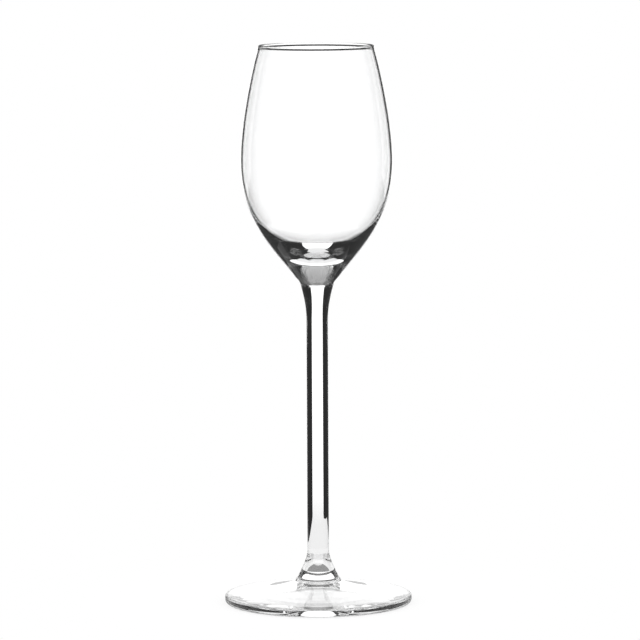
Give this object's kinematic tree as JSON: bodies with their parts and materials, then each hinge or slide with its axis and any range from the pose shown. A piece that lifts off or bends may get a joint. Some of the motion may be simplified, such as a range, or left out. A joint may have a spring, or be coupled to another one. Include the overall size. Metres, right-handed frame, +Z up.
{
  "type": "sherry glass",
  "caption": "Clear stemmed sherry glass: an egg-shaped bowl with a solid tapered base on a slim drawn stem, flared onto a shallow conical foot.",
  "frame": {"origin": "middle of the foot's standing ring, on the plane that the glass stands on", "axes": "+Z up the stem, the glass's axis of turning; X and Y lie in the standing plane and are alike"},
  "size_m": [0.067, 0.067, 0.2],
  "materials": {
    "bowl_glass": "clear colourless glass, blown, with a fire-polished rim",
    "stem_glass": "clear colourless glass, drawn to a rod, with faint lengthwise draw lines",
    "foot_glass": "clear colourless glass, spun to a disc, with a fire-polished edge"
  },
  "bodies": {
    "root": {"bowl": "bowl_glass", "stem": "stem_glass", "foot": "foot_glass"}
  },
  "joints": []
}
